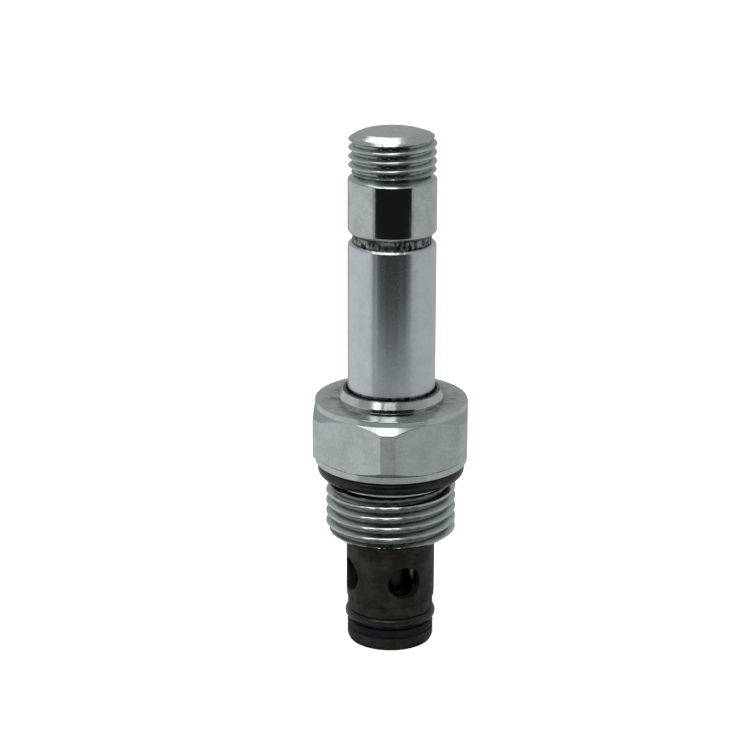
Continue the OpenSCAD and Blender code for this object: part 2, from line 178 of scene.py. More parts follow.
class CartridgeStage(bpy.types.PropertyGroup):
    """Camera and strength of the lights."""
    camera_height: angle("Camera elevation", "Angle from which the camera looks down", 18.1)
    camera_distance: length("Camera distance", "Distance from the camera to its aim", 368.35)
    camera_roll: angle("Camera roll", "Lean of the picture", 0.2)
    aim_side: length("Aim sideways", "Place of its aim along X", -2.37)
    aim_height: length("Aim height", "Place of its aim above the seating face", 12.75)
    lens: level("Lens", "Focal length in millimetres on a 36 mm sensor", 122.4)
    key: level("Key light", "Strength of the soft boxes above the front", 1.0)
    side: level("Side lights", "Strength of the soft boxes at the sides", 1.0)
    fill: level("Fill", "Strength of the even light from all round", 1.0)


# Shapes --------------------------------------------------------------------------------------

def even_angles(count):
    return [TURN * i / count for i in range(count)]


def evenly(start, end, count):
    """That many steps from start towards end, without the end."""
    return [start + (end - start) * k / count for k in range(count)]


def eased(corners, steps=3):
    """Points of an outline given as (radius, height, break), with each broken corner rounded.

    A point just past each rounding keeps the straight walls straight in the light.
    """
    points = []
    for i, (r, z, size) in enumerate(corners):
        here = Vector((r, z))
        if not size:
            points.append((r, z))
            continue
        back = Vector(corners[i - 1][:2]) - here
        ahead = Vector(corners[(i + 1) % len(corners)][:2]) - here
        cut = min(size, 0.45 * back.length, 0.45 * ahead.length)
        start, end = here + back.normalized() * cut, here + ahead.normalized() * cut
        curve = [start + back.normalized() * min(0.05, 0.04 * back.length)]
        for t in (k / steps for k in range(steps + 1)):
            curve.append(start * (1 - t) ** 2 + here * (2 * t * (1 - t)) + end * t * t)
        curve.append(end + ahead.normalized() * min(0.05, 0.04 * ahead.length))
        points += [(p.x, p.y) for p in curve]
    return points


def finished(name, bm, sharp=38):
    """Turns a bmesh into an object with smooth faces and sharp edges where it bends hard."""
    bmesh.ops.recalc_face_normals(bm, faces=bm.faces)
    mesh = bpy.data.meshes.new(name)
    bm.to_mesh(mesh)
    bm.free()
    mesh.shade_smooth()
    mesh.set_sharp_from_angle(angle=math.radians(sharp))
    piece = bpy.data.objects.new(name, mesh)
    bpy.context.scene.collection.objects.link(piece)
    return piece


def point(a, r, z):
    """The place, in metres, at an angle round the axis, a radius and a height."""
    return (r * math.cos(a) * MM, r * math.sin(a) * MM, z * MM)


def pairs(loop):
    """Each item of a closed loop with the one after it."""
    return zip(loop, loop[1:] + loop[:1])


def bridge(bm, loop, after):
    """Joins two closed loops of the same length with a band of faces."""
    for (a, b), (c, d) in zip(pairs(loop), pairs(after)):
        bm.faces.new((a, c, d, b))


def lathe(name, angles, outline, solid=False, sharp=38):
    """Turns one outline per angle into a closed piece. A solid one starts and ends on the axis."""
    bm = bmesh.new()
    rows = [outline(a) for a in angles]
    rings = []
    for a, row in zip(angles, rows):
        rings.append([bm.verts.new(point(a, r, z)) for r, z in (row[1:-1] if solid else row)])
    count = len(rings[0])
    for ring, after in pairs(rings):
        for k in range(count - 1 if solid else count):
            n = (k + 1) % count
            bm.faces.new((ring[k], after[k], after[n], ring[n]))
    if solid:
        for end in (0, -1):
            centre = bm.verts.new((0, 0, rows[0][end][1] * MM))
            for ring, after in pairs(rings):
                bm.faces.new((ring[end], after[end], centre))
    return finished(name, bm, sharp)


def round_ring(name, inner, section, height, squeeze):
    """An O-ring that fills its groove, a little flattened where it lies against metal."""
    half = section / 2
    outline = []
    for k in range(RING_POINTS):
        a = TURN * k / RING_POINTS
        flat = 1 - squeeze * abs(math.sin(a)) ** 6
        outline.append((inner + half + half * math.cos(a), height + half * math.sin(a) * flat))
    return lathe(name, even_angles(RING_COLUMNS), lambda a: outline, sharp=80)


def thread_height(a, z, crest, pitch):
    """How far up a right-hand thread's flank a point lies, from 0 at the root to 1 at the crest.

    A crest is flat in the middle and falls away at its edges, where the straight flanks start.
    """
    flat, edge, foot, edge_height = 0.03, 0.13, 0.385, 0.875
    phase = ((z - crest) / pitch - a / TURN) % 1
    off = min(phase, 1 - phase)
    worn = 1 - (1 - edge_height) * max(0, off - flat) / (edge - flat)
    flank = edge_height * (foot - off) / (foot - edge)
    return max(0, min(1, worn, flank))


def hex_columns(turn, flats, corner):
    """Angles of the hexagon's columns, with one on each line where a flat meets a turned corner."""
    reach = math.acos(flats / 2 / corner)
    rim = HEX_SIDE / 2 - reach
    angles = []
    for side in range(6):
        start = FRONT + turn + side * HEX_SIDE
        angles += evenly(start - rim, start + rim, 6)
        angles += evenly(start + rim, start + rim + 2 * reach, 30)
    return angles


def crimp_mark(a, count, seed):
    """An uneven row of pressed marks round the groove: 0 between marks and 1 in a mark."""
    round_axis = Vector((math.cos(a), math.sin(a), 0))
    drift = noise.noise(round_axis * 3 + Vector((0, 0, seed)))
    depth = 0.65 + 0.7 * noise.noise(round_axis * 9 + Vector((0, 0, seed + 5)))
    wave = 0.5 + 0.5 * math.cos(count * a + 2.6 * drift)
    return wave ** 3 * min(1, max(0.1, depth))


def carried(piece, body, finish, slot, *nodes):
    """Seats a new piece on its body in place of the CAD nodes, with its finish."""
    piece.data.materials.clear()
    piece.data.materials.append(finish)
    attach(piece, body)
    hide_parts(*nodes)


def repaint(finish, *nodes):
    """Gives a finish to CAD nodes whose shape stays as it is."""
    for node in nodes:
        mesh = frame["nodes"][node].data
        mesh.materials.clear()
        mesh.materials.append(finish)


# Finishes ------------------------------------------------------------------------------------

class Signal:
    """A shader value that can stand in a Python sum; each sum adds its Math node."""

    def __init__(self, finish, socket):
        self.finish, self.socket = finish, socket

    def maths(self, operation, *values):
        inputs = {i: v for i, v in enumerate((self, *values))}
        return self.finish.node("ShaderNodeMath", {"operation": operation}, inputs)

    def __add__(self, other):
        return self.maths("ADD", other)

    def __sub__(self, other):
        return self.maths("SUBTRACT", other)

    def __rsub__(self, other):
        return self.finish.node("ShaderNodeMath", {"operation": "SUBTRACT"}, {0: other, 1: self})

    def __mul__(self, other):
        return self.maths("MULTIPLY", other)

    def __truediv__(self, other):
        return self.maths("DIVIDE", other)

    __radd__ = __add__
    __rmul__ = __mul__

    def between(self, low, high):
        """0 below low, 1 above high, and a smooth rise from one to the other."""
        settings = {"interpolation_type": "SMOOTHSTEP"}
        inputs = {"Value": self, "From Min": low, "From Max": high}
        return self.finish.node("ShaderNodeMapRange", settings, inputs, "Result")

    def within(self, low, high, soft=0.1, soft_end=None):
        """1 from low to high and 0 outside, with soft ends."""
        soft_end = soft_end or soft
        inside = self.between(low - soft, low + soft)
        return inside * (1 - self.between(high - soft_end, high + soft_end))


class Finish:
    """One procedural material that ends in a Principled shader."""

    def __init__(self, name, **fixed):
        self.material = bpy.data.materials.new(name)
        self.material.use_nodes = True
        self.tree = self.material.node_tree
        self.tree.nodes.clear()
        self.shader = self.tree.nodes.new("ShaderNodeBsdfPrincipled")
        output = self.tree.nodes.new("ShaderNodeOutputMaterial")
        self.tree.links.new(self.shader.outputs[0], output.inputs["Surface"])
        for socket, value in fixed.items():
            self.shader.inputs[socket.replace("_", " ")].default_value = value
        self.place = self.node("ShaderNodeTexCoord", output="Object")

    def feed(self, socket, value):
        """Links a signal to a socket, or sets the socket to a number, vector or colour."""
        if isinstance(value, Signal):
            self.tree.links.new(value.socket, socket)
        elif isinstance(value, (int, float)) or len(value) == len(socket.default_value):
            socket.default_value = value
        else:
            socket.default_value = (*value, 1)

    def node(self, kind, settings=None, inputs=None, output=None):
        """Adds a node with its settings and sockets, and gives back the output asked for."""
        node = self.tree.nodes.new(kind)
        for name, value in (settings or {}).items():
            setattr(node, name, value)
        for name, value in (inputs or {}).items():
            if isinstance(name, int):
                socket = node.inputs[name]
            else:
                socket = next(s for s in node.inputs if s.name == name and s.enabled)
            self.feed(socket, value)
        return Signal(self, next(s for s in node.outputs if s.enabled and output in (None, s.name)))

    def give(self, socket, value):
        self.feed(self.shader.inputs[socket], value)

    def mix(self, first, second, share):
        inputs = {"Factor": share, "A": first, "B": second}
        return self.node("ShaderNodeMix", {"data_type": "RGBA"}, inputs)

    def stretched(self, factors):
        """The object's own coordinates, multiplied axis by axis."""
        inputs = {0: self.place, 1: factors}
        return self.node("ShaderNodeVectorMath", {"operation": "MULTIPLY"}, inputs)

    def grain(self, size, detail=2.0, roughness=0.55, stretch=None):
        """Noise whose spots are about that size in millimetres, drawn out along the given axes."""
        place = self.stretched(stretch) if stretch else self.place
        inputs = {"Vector": place, "Scale": 1 / (size * MM)}
        inputs |= {"Detail": detail, "Roughness": roughness}
        return self.node("ShaderNodeTexNoise", {}, inputs, "Fac")

    def from_axis(self):
        """Distance from the axis, and height, both in millimetres."""
        flat = self.stretched((1 / MM, 1 / MM, 0))
        radius = self.node("ShaderNodeVectorMath", {"operation": "LENGTH"}, {0: flat}, "Value")
        height = self.node("ShaderNodeSeparateXYZ", {}, {"Vector": self.place}, "Z") * (1 / MM)
        return radius, height

    def tool_marks(self, spacing):
        """Fine rings left by turning, on walls and on faces alike."""
        radius, height = self.from_axis()
        along = (radius + height) / spacing
        inputs = {"W": along, "Scale": 1.0, "Detail": 3.0, "Roughness": 0.7}
        return self.node("ShaderNodeTexNoise", {"noise_dimensions": "1D"}, inputs, "Fac")

    def relief(self, height, depth, strength=1.0, under=None):
        """Bump of that depth in millimetres from a height between 0 and 1."""
        inputs = {"Strength": strength, "Distance": depth * MM, "Height": height}
        if under:
            inputs["Normal"] = under
        return self.node("ShaderNodeBump", {}, inputs)


class GrimeAndShade(NamedTuple):
    """Grime and painted shade between two heights, fading out between two radii, in patches of a
    size.
    """
    low: float
    high: float
    inner: float
    outer: float
    colour: tuple
    size: float
    cover: float
    dulling: float


class Roots(NamedTuple):
    """Painted shade between two heights that is deepest at a thread's root and gone at its crest.
    """
    low: float
    high: float
    root: float
    crest: float
    colour: tuple
    cover: float


def plated_finish(
    name, bright, cloud, smooth, rough, clouding, polished=None, flats=None, grime_and_shade=(), roots=None
):
    """Clear zinc plate over turned steel, with soft clouds, a fine grain and turning marks.

    Smooth and rough are the roughness of clear and of clouded plate. Heights between the two of
    polished are smoother, and flats gives the radii between which the turning marks end.
    """
    f = Finish(name, Metallic=1.0, Specular_IOR_Level=0.5)
    clouds = f.grain(2.6, 4.0, 0.62).between(0.36, 0.68)
    speckle = f.grain(0.42, 3.0, 0.6).between(0.35, 0.7)
    fine = f.grain(0.09, 2.0, 0.6)
    marks = f.tool_marks(0.16)
    radius, height = f.from_axis()
    dull = (clouds * 0.6 + speckle * 0.4) * clouding
    colour = f.mix(bright, cloud, dull)
    roughness = dull * (rough - smooth) + fine * 0.05 + smooth
    turned = 1.0
    if flats:
        turned = 1 - radius.between(*flats)
        roughness = roughness * (1 - turned * 0.45)
    if polished:
        roughness = roughness * (1 - height.within(*polished) * 0.5)
    # Bands of grime that also darken grooves and crevices as painted shade.
    for spot in grime_and_shade:
        patches = f.grain(spot.size, 3.0, 0.6, (1, 1, 0.45)).between(0.36, 0.62)
        band = height.within(spot.low, spot.high, 0.06, 0.08)
        band = band * (1 - radius.between(spot.inner, spot.outer))
        share = band * (patches * (1 - spot.cover) + spot.cover)
        colour = f.mix(colour, spot.colour, share)
        roughness = roughness + share * spot.dulling
    # Painted shade darkening the thread roots.
    if roots:
        valley = 1 - radius.between(roots.root, roots.crest)
        share = valley * height.within(roots.low, roots.high) * roots.cover
        colour = f.mix(colour, roots.colour, share)
    f.give("Base Color", colour)
    f.give("Roughness", roughness)
    grain_bump = f.relief(fine * 0.5 + speckle * 0.5, 0.003, 0.4)
    f.give("Normal", f.relief(marks * turned, 0.003, 0.5, grain_bump))
    return f.material


def phosphate_finish(name, colour, worn_colour):
    """Oiled manganese phosphate: dark, fine crystals with the steel showing through in places."""
    f = Finish(name, Metallic=0.55, Specular_IOR_Level=0.12)
    clouds = f.grain(2.2, 4.0, 0.65).between(0.38, 0.72)
    crystals = f.grain(0.16, 3.0, 0.7)
    marks = f.tool_marks(0.22)
    worn = clouds * 0.55 + marks.between(0.5, 0.8) * 0.3
    f.give("Base Color", f.mix(colour, worn_colour, worn))
    f.give("Roughness", crystals * 0.16 + (1 - clouds) * 0.12 + 0.34)
    f.give("Normal", f.relief(marks, 0.006, 0.5, f.relief(crystals, 0.010, 0.6)))
    return f.material


def rubber_finish(name, colour, smooth):
    """Moulded nitrile: black, slightly waxy, with a faint bloom in its skin."""
    f = Finish(name, Specular_IOR_Level=0.32)
    bloom = f.grain(1.4, 4.0, 0.6).between(0.42, 0.78)
    skin = f.grain(0.11, 2.0, 0.6)
    f.give("Base Color", f.mix(colour, [c * 1.8 + 0.001 for c in colour], bloom))
    f.give("Roughness", bloom * 0.12 + skin * 0.05 + smooth)
    f.give("Normal", f.relief(skin, 0.006, 0.5))
    return f.material


def polymer_finish(name, colour, spread, smooth):
    """Cut plastic ring with a fine skiving grain, whose clouds are spread times its colour."""
    f = Finish(name, Specular_IOR_Level=0.12)
    marks = f.tool_marks(0.12)
    cloud = f.grain(1.0, 3.0, 0.6).between(0.35, 0.7)
    f.give("Base Color", f.mix(colour, [c * spread for c in colour], cloud * 0.6 + marks * 0.4))
    f.give("Roughness", marks * 0.14 + cloud * 0.08 + smooth)
    f.give("Normal", f.relief(marks, 0.008, 0.5, f.relief(f.grain(0.1), 0.004, 0.4)))
    return f.material


def worked_metal_finish(name, colour, dark, smooth, spacing):
    """Ground or turned metal inside the valve, with an oil film in faint clouds.

    The film darkens the colour by the share dark, and the tool marks lie that spacing apart.
    """
    f = Finish(name, Metallic=1.0)
    oil = f.grain(1.8, 4.0, 0.6).between(0.4, 0.75)
    marks = f.tool_marks(spacing)
    f.give("Base Color", f.mix(colour, [c * dark for c in colour], oil * 0.7 + marks * 0.3))
    f.give("Roughness", oil * 0.12 + marks * 0.10 + smooth)
    f.give("Normal", f.relief(marks, 0.006, 0.5, f.relief(f.grain(0.08), 0.002, 0.5)))
    return f.material


# Pieces --------------------------------------------------------------------------------------

def step(cls):
    """Gives an operator its options and puts it on the list of steps."""
    cls.bl_options = {"REGISTER", "UNDO"}
    steps.append(cls)
    return cls


steps = []


@step
class CARTRIDGE_OT_pole_piece(bpy.types.Operator):
    """Builds the pole piece with its collar, rolled groove and right-hand stud thread"""
    bl_idname = "cartridge.pole_piece"
    bl_label = "Pole piece"

    def execute(self, context):
        s, c = context.scene.cartridge_sizes, context.scene.cartridge_colours
        ease = s.edge_break / MM
        crest, pitch = s.stud_crest / MM, s.stud_pitch / MM
        major, depth = s.stud_major / MM, s.stud_depth / MM
        root = major - depth
        collar_bottom, collar_top = TUBE_TOP + 1.4, TUBE_TOP + 9.15
        flat_r, crown_h, crown_edge = 4.2, 0.75, major - 0.3
        barrel, stake, groove = TUBE_BORE_R - SEAT_GAP, TUBE_STAKE_R - SEAT_GAP, 5.75
        pocket, pocket_end = 2.7, POLE_FACE + 4.6
        gland, gland_bottom, gland_top = barrel - 1.08, 27.77, 28.93
        neck = root - 0.1
        thread_start, crown_start = collar_top + 0.6, STUD_TOP - crown_h
        rows, runout, runup = 110, 1.15, 0.9

        def stud(a, z):
            r = root + depth * thread_height(a, z, crest, pitch)
            below, above = max(0, z - thread_start), max(0, crown_start - z)
            return max(neck, min(r, neck + below * runout, crown_edge + above * runup))

        def outline(a):
            mark = crimp_mark(a, s.crimp_count, 2) * s.crimp_depth / MM
            points = eased([
                (0, pocket_end, 0), (pocket, pocket_end, 0), (pocket, POLE_FACE, ease),
                (barrel, POLE_FACE, 0.3), (barrel, gland_bottom, 0), (gland, gland_bottom, 0),
                (gland, gland_top, 0), (barrel, gland_top, 0), (barrel, TUBE_TOP - STAKE_START, 0),
                (stake, TUBE_TOP - STAKE_END, 0.1), (stake, TUBE_TOP + SEAT_GAP, 0),
                (groove - mark, TUBE_TOP + SEAT_GAP, ease),
                (groove - 0.1 - mark * 0.8, collar_bottom - 0.7, 0.2),
                (groove - mark * 0.4, collar_bottom - 0.3, ease),
                (TUBE_R - 0.3, collar_bottom - 0.02, ease), (TUBE_R, collar_bottom + 0.28, ease),
                (TUBE_R, collar_top - 0.02, 0.15), (neck + 0.4, collar_top + 0.38, ease),
                (neck, collar_top + 0.5, 0.1),
            ])
            points += [(stud(a, z), z) for z in evenly(thread_start, crown_start, rows)]
            crown = eased([
                (crown_edge, crown_start, 0), (crown_edge - 0.08, STUD_TOP - 0.58, 0.15),
                (flat_r, STUD_TOP, 0.4), (flat_r - 1, STUD_TOP, 0),
            ], 6)
            return points + [(min(r, stud(a, z)), z) for r, z in crown] + [(0, STUD_TOP)]

        piece = lathe("pole_piece_turned", even_angles(TURNED_COLUMNS), outline, solid=True)
        finish = plated_finish(
            "zinc_on_turned_steel", c.zinc, c.zinc_cloud, smooth=0.13, rough=0.25, clouding=0.8,
            polished=(collar_bottom, collar_top),
            # Grime in the rolled groove, also painted shade darkening the recess.
            grime_and_shade=[GrimeAndShade(
                low=TUBE_TOP - 0.3, high=collar_bottom + 0.1, inner=8, outer=9,
                colour=c.dark_grime_and_shade, size=0.55, cover=0.4, dulling=0.25,
            )],
            # Painted shade darkening the stud thread's roots.
            roots=Roots(
                low=thread_start, high=STUD_TOP - 1, root=root - 0.05, crest=root + depth * 0.7,
                colour=c.root_shade, cover=0.5,
            ),
        )
        carried(piece, "valve_body", finish, "zinc_plate", "pole_piece")
        return {"FINISHED"}


@step
class CARTRIDGE_OT_guide_tube(bpy.types.Operator):
    """Builds the guide tube, whose top edge is rolled into the pole piece's groove"""
    bl_idname = "cartridge.guide_tube"
    bl_label = "Guide tube"

    def execute(self, context):
        s, c = context.scene.cartridge_sizes, context.scene.cartridge_colours
        foot, flange_bottom, flange_top = FOOT_R - SEAT_GAP, 9.15, 10.1
        roll, roll_steps = 0.65, 10

        def outline(a):
            mark = crimp_mark(a, s.crimp_count, 7) * s.crimp_depth / MM
            ripple = crimp_mark(a, s.crimp_count * 0.5, 11) * s.crimp_depth / MM
            points = eased([
                (TUBE_BORE_R, TUBE_BOTTOM, 0.3), (foot, TUBE_BOTTOM, 0.3),
                (foot, flange_bottom - 0.16, 0.05), (FLANGE_R, flange_bottom, 0.08),
                (FLANGE_R, flange_top, 0.08), (foot, flange_top + 0.16, 0.05),
                (foot, flange_top + 0.35, 0.1), (TUBE_R, flange_top + 0.5, 0.1),
            ])
            for t in (k / roll_steps for k in range(roll_steps + 1)):
                r = TUBE_R - roll * (1 - math.cos(TURN / 4 * t))
                z = TUBE_TOP - roll * (1 - math.sin(TURN / 4 * t))
                points.append((r - mark * 0.5 * t - ripple * 0.3, z - mark * 0.9 * t ** 2))
            return points + [
                (TUBE_STAKE_R, TUBE_TOP - mark * 0.9), (TUBE_STAKE_R, TUBE_TOP - STAKE_END),
                (TUBE_BORE_R, TUBE_TOP - STAKE_START),
            ]

        piece = lathe("guide_tube_rolled", even_angles(TURNED_COLUMNS), outline)
        finish = plated_finish(
            "zinc_on_drawn_tube", c.tube, c.zinc_cloud, smooth=0.22, rough=0.30, clouding=0.35,
            # Grime at the tube's foot, also painted shade darkening the crevice against the lip.
            grime_and_shade=[GrimeAndShade(
                low=flange_top + 0.1, high=LIP_TOP + 0.12, inner=8, outer=9,
                colour=c.dark_grime_and_shade, size=0.8, cover=0.55, dulling=0.1,
            )],
        )
        carried(piece, "valve_body", finish, "zinc_tube", "guide_tube")
        return {"FINISHED"}


@step
class CARTRIDGE_OT_hex_adapter(bpy.types.Operator):
    """Builds the hexagon with its chamfered corners, rolled lip and right-hand manifold thread"""
    bl_idname = "cartridge.hex_adapter"
    bl_label = "Hex adapter"

    def execute(self, context):
        s, c = context.scene.cartridge_sizes, context.scene.cartridge_colours
        ease = s.edge_break / MM
        flats, corner, face = s.hex_flats / MM, s.hex_corner / MM, s.hex_face / MM
        top = s.hex_height / MM
        upper, lower = top - 0.85, 1.0
        slope = math.tan(s.chamfer)
        major, depth = s.shank_major / MM, s.shank_depth / MM
        root = major - depth
        relief, chamfer_r = root - 0.075, root - 0.12
        crest, pitch = s.shank_crest / MM, s.shank_pitch / MM
        thread_top, rows, runout, runup = -2.95, 176, 1.9, 1.35
        fit, gland, lip_r, lip_foot = FOOT_R, 7.8, 7.0, 7.6
        flange, flange_bottom, flange_top = FLANGE_R + SEAT_GAP, 9.13, 10.1
        gland_bottom, gland_top, guide_bottom = 4.1, 6.23, 2.48
        shank_bore, socket, socket_end = 5.6, SHANK_R + SEAT_GAP, -2
        mouth, mouth_end = 6.495, SHANK_END + 0.58

        def shank(a, z):
            r = root + depth * thread_height(a, z, crest, pitch)
            r = min(r, relief + (thread_top - z) * runout, chamfer_r + (z - SHANK_END) * runup)
            return max(r, relief if z > thread_top - 0.3 else chamfer_r)

        def outline(a):
            offset = (a - FRONT - s.hex_turn) % HEX_SIDE
            reach = min(corner, flats / 2 / math.cos(offset - HEX_SIDE / 2))
            drop = (reach - face) * slope
            points = eased([
                (fit, 9.8, 0), (fit + 0.03, LIP_TOP - 0.27, 0.08), (lip_r, LIP_TOP - 0.29, 0.1),
                (lip_foot, top + 0.46, 0.08), (lip_foot, top, 0.05), (face, top, ease),
                (face, upper, 0.04), (reach, upper - drop, 0.10), (reach, lower + drop, 0.10),
                (face, lower, 0.04), (face, 0, ease), (relief, 0, 0.2),
                (relief, thread_top + 0.02, 0),
            ])
            points += [(shank(a, z), z) for z in evenly(thread_top, SHANK_END, rows)]
            return points + [(shank(a, SHANK_END), SHANK_END)] + eased([
                (mouth, SHANK_END, ease), (mouth, mouth_end, 0), (socket, mouth_end, 0),
                (socket, socket_end, 0), (shank_bore, socket_end, 0), (shank_bore, guide_bottom, 0),
                (fit, guide_bottom, 0), (fit, gland_bottom, 0), (gland, gland_bottom, 0),
                (gland, gland_top, 0), (fit, gland_top, 0), (fit, flange_bottom - 0.16, 0),
                (flange, flange_bottom, 0), (flange, flange_top, 0), (fit, flange_top + 0.18, 0),
            ])

        columns = hex_columns(s.hex_turn, flats, corner)
        piece = lathe("hex_adapter_worked", columns, outline, sharp=24)
        finish = plated_finish(
            "zinc_on_hexagon", c.zinc, c.zinc_cloud, smooth=0.18, rough=0.31, clouding=0.7,
            flats=(face + 0.02, face + 0.05),
            grime_and_shade=[
                # Olive blotches on the top face, thickest by the lip's foot and fading outwards.
                GrimeAndShade(
                    low=top - 0.2, high=top + 0.12, inner=7.7, outer=10.9,
                    colour=c.blotches, size=2.2, cover=0.1, dulling=0.03,
                ),
                # Grime on the lip's top, also painted shade darkening the crevice round the tube's
                # foot.
                GrimeAndShade(
                    low=LIP_TOP - 0.5, high=LIP_TOP + 0.3, inner=6.98, outer=7.14,
                    colour=c.dark_grime_and_shade, size=0.8, cover=0.75, dulling=0.2,
                ),
            ],
            # Painted shade darkening the manifold thread's roots.
            roots=Roots(
                low=SHANK_END, high=thread_top, root=root - 0.05, crest=root + depth * 0.75,
                colour=c.root_shade, cover=0.8,
            ),
        )
        carried(piece, "valve_body", finish, "zinc_plate", "hex_adapter")
        return {"FINISHED"}


def cage_outline(s):
    """The cage's section, with the rows of its outer and inner walls that the cross holes use."""
    ease = s.edge_break / MM
    outer, bore, neck, lip, port = SHANK_R - 0.525, 4.96, 6.275, 6.325, 3.2
    gland, gland_bottom, gland_top = NOSE_GROOVE_R - SEAT_GAP, NOSE_END + 1.9, NOSE_END + 5.06
    seal_gland, seal_bottom, seal_top = 6.0, -5.54, -4.46
    shoulder, floor = SHANK_END + 0.6, gland_top + 0.9
    middle, half = s.cross_height / MM, 3.1
    zone = [middle + half * (2 * k / PATCH_STEPS - 1) for k in range(PATCH_STEPS + 1)]
    points = eased([
        (port, NOSE_END, 0.15), (lip - 0.3, NOSE_END, 0.1), (lip, NOSE_END + 0.6, 0.25),
        (lip, gland_bottom, 0.08), (gland, gland_bottom, 0.1), (gland, gland_top, 0.1),
        (neck, gland_top, 0.1), (neck, gland_top + 1.65, 0.2), (outer, gland_top + 1.95, 0.15),
    ])
    outer_rows = [len(points) + k for k in range(PATCH_STEPS + 1)]
    points += [(outer, z) for z in zone]
    points += eased([
        (outer, shoulder, 0), (SHANK_R, shoulder, 0.1), (SHANK_R, seal_bottom, 0.05),
        (seal_gland, seal_bottom, 0.05), (seal_gland, seal_top, 0.05), (SHANK_R, seal_top, 0.05),
        (SHANK_R, CAGE_TOP, 0.3), (bore, CAGE_TOP, 0.3),
    ])
    inner_rows = [len(points) + PATCH_STEPS - k for k in range(PATCH_STEPS + 1)]
    points += [(bore, z) for z in reversed(zone)]
    points += eased([(bore, floor, 0), (port, floor, ease)])
    return points, outer_rows, inner_rows


def border(columns, rows):
    """The keys round a patch of a grid: along its first row, up, back along its last, and down."""
    return (
        [(c, rows[0]) for c in columns[:-1]] + [(columns[-1], r) for r in rows[:-1]]
        + [(c, rows[-1]) for c in columns[:0:-1]] + [(columns[0], r) for r in rows[:0:-1]]
    )


def bored_cage(name, s):
    """Builds the cage as a lathe grid, with each cross hole set into a square patch of it."""
    outline, outer_rows, inner_rows = cage_outline(s)
    hole, middle, ease = s.cross_hole / MM, s.cross_height / MM, s.edge_break / MM
    sector, patch, plain = TURN / s.cross_count, math.radians(36), 6
    centres = [FRONT + s.cross_turn + sector * i for i in range(s.cross_count)]
    firsts = [(PATCH_STEPS + plain) * i for i in range(s.cross_count)]
    angles = []
    for centre in centres:
        angles += evenly(centre - patch, centre + patch, PATCH_STEPS)
        angles += evenly(centre + patch, centre + sector - patch, plain)
    columns, count = len(angles), len(outline)
    inside, patched = set(), set()
    for first in firsts:
        for rows in (outer_rows, inner_rows):
            for c in range(first, first + PATCH_STEPS):
                patched |= {(c, min(pair)) for pair in zip(rows, rows[1:])}
                if c > first:
                    inside |= {(c, row) for row in rows[1:-1]}
    bm = bmesh.new()
    keys = [(c, k) for c in range(columns) for k in range(count)]
    grid = {}
    for c, k in keys:
        if (c, k) not in inside:
            grid[c, k] = bm.verts.new(point(angles[c], *outline[k]))
    for c, k in keys:
        if (c, k) not in patched:
            d, n = (c + 1) % columns, (k + 1) % count
            bm.faces.new((grid[c, k], grid[d, k], grid[d, n], grid[c, n]))

    outer_r, inner_r = outline[outer_rows[0]][0], outline[inner_rows[0]][0]
    for first, centre in zip(firsts, centres):
        patch_columns = [(first + k) % columns for k in range(PATCH_STEPS + 1)]
        outer_border = border(patch_columns, outer_rows)
        inner_border = border(patch_columns, inner_rows)
        bearings = []
        for c, row in outer_border:
            side, rise = outer_r * math.sin(angles[c] - centre), outline[row][1] - middle
            bearings.append(math.atan2(rise, side))

        def on_wall(side, rise, radius):
            """A point given across and along the hole, at a distance from the cage's axis."""
            return bm.verts.new(point(centre + math.asin(side / radius), radius, middle + rise))

        def rim(size, radius):
            """A round loop of that size."""
            return [on_wall(size * math.cos(t), size * math.sin(t), radius) for t in bearings]

        def faded(edge, radius, share, size):
            """A loop between the patch's border and a round loop; share 1 is the border."""
            loop = []
            for (c, row), t in zip(edge, bearings):
                side, rise = radius * math.sin(angles[c] - centre), outline[row][1] - middle
                side = side * share + size * math.cos(t) * (1 - share)
                rise = rise * share + size * math.sin(t) * (1 - share)
                loop.append(on_wall(side, rise, radius))
            return loop

        loops = [[grid[key] for key in outer_border]]
        for share in (0.6, 0.3, 0.1):
            loops.append(faded(outer_border, outer_r, share, hole + ease * 1.5))
        loops += [rim(hole + ease, outer_r), rim(hole + ease * 0.35, outer_r - ease * 0.3)]
        loops += [rim(hole, outer_r - ease)]
        loops += [rim(hole, outer_r * (1 - t) + inner_r * t) for t in (0.4, 0.75)]
        loops += [rim(hole, inner_r + 0.03), rim(hole + 0.03, inner_r)]
        loops += [faded(inner_border, inner_r, share, hole + 0.05) for share in (0.15, 0.5)]
        loops += [[grid[key] for key in inner_border]]
        for loop, after in zip(loops, loops[1:]):
            bridge(bm, loop, after)
    return finished(name, bm, 40)


@step
class CARTRIDGE_OT_cage(bpy.types.Operator):
    """Builds the nose cage with its four cross holes, its neck and its seal groove"""
    bl_idname = "cartridge.cage"
    bl_label = "Cage"

    def execute(self, context):
        s, c = context.scene.cartridge_sizes, context.scene.cartridge_colours
        piece = bored_cage("cage_bored", s)
        finish = phosphate_finish("oiled_phosphate", c.phosphate, c.phosphate_worn)
        carried(piece, "valve_body", finish, "phosphated_steel", "cage")
        return {"FINISHED"}


@step
class CARTRIDGE_OT_o_rings(bpy.types.Operator):
    """Builds the O-rings under the hexagon, on the nose and inside the joints"""
    bl_idname = "cartridge.o_rings"
    bl_label = "O-rings"

    def execute(self, context):
        c = context.scene.cartridge_colours
        finish = rubber_finish("moulded_nitrile", c.nitrile, smooth=0.15)
        # Inner radius, thickness and height of the middle of each ring.
        rings = {
            "port_o_ring": (8.495, 2.2, -1.12),
            "nose_o_ring": (NOSE_GROOVE_R, 1.76, NOSE_END + 4.16),
            "pole_seal": (4.37, 1.06, POLE_FACE + 4.6),
            "tube_seal": (FOOT_R, 1.21, 4.745),
            "cage_seal": (6.02, 0.98, -5.0),
        }
        for node, (inner, section, height) in rings.items():
            piece = round_ring(node + "_moulded", inner, section, height, squeeze=0.03)
            carried(piece, "valve_body", finish, "nitrile", node)
        return {"FINISHED"}


